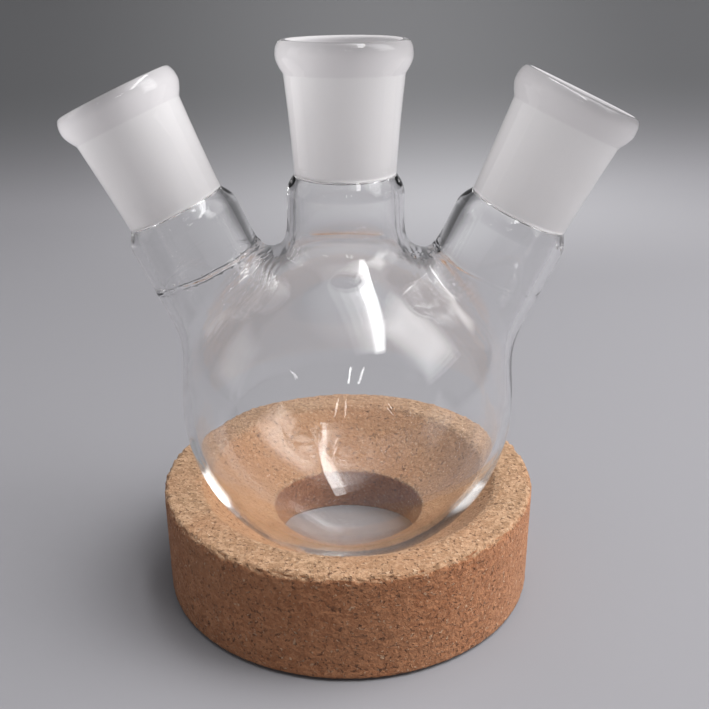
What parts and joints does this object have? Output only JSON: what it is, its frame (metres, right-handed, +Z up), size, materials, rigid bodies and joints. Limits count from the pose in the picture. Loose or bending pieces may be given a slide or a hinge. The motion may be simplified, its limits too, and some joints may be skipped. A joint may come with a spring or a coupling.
{
  "type": "round bottom flask",
  "caption": "Clear glass round bottom flask with angled side necks and ground taper sockets, standing in a dished cork ring.",
  "frame": {"origin": "on the table at the centre of the cork ring's flat base", "axes": "+Z up along the centre neck, side necks lean towards -X and +X in the XZ plane, +Y towards the back"},
  "size_m": [0.1348, 0.098, 0.14],
  "materials": {
    "cork": "pressed cork granules, matte, fine dark specks",
    "clear_glass": "clear borosilicate glass, polished",
    "ground_glass": "borosilicate glass with a ground, frosted inner taper"
  },
  "bodies": {
    "ring": {"cork_ring": "cork"},
    "flask": {"bulb": "clear_glass", "centre_neck_tube": "clear_glass", "left_neck_tube": "clear_glass", "right_neck_tube": "clear_glass", "centre_socket": "ground_glass", "left_socket": "ground_glass", "right_socket": "ground_glass"}
  },
  "joints": [
    {"name": "flask_lift", "type": "slide", "parent": "ring", "child": "flask", "axis": [0, 0, 1], "range_m": [0, 0.06]}
  ]
}
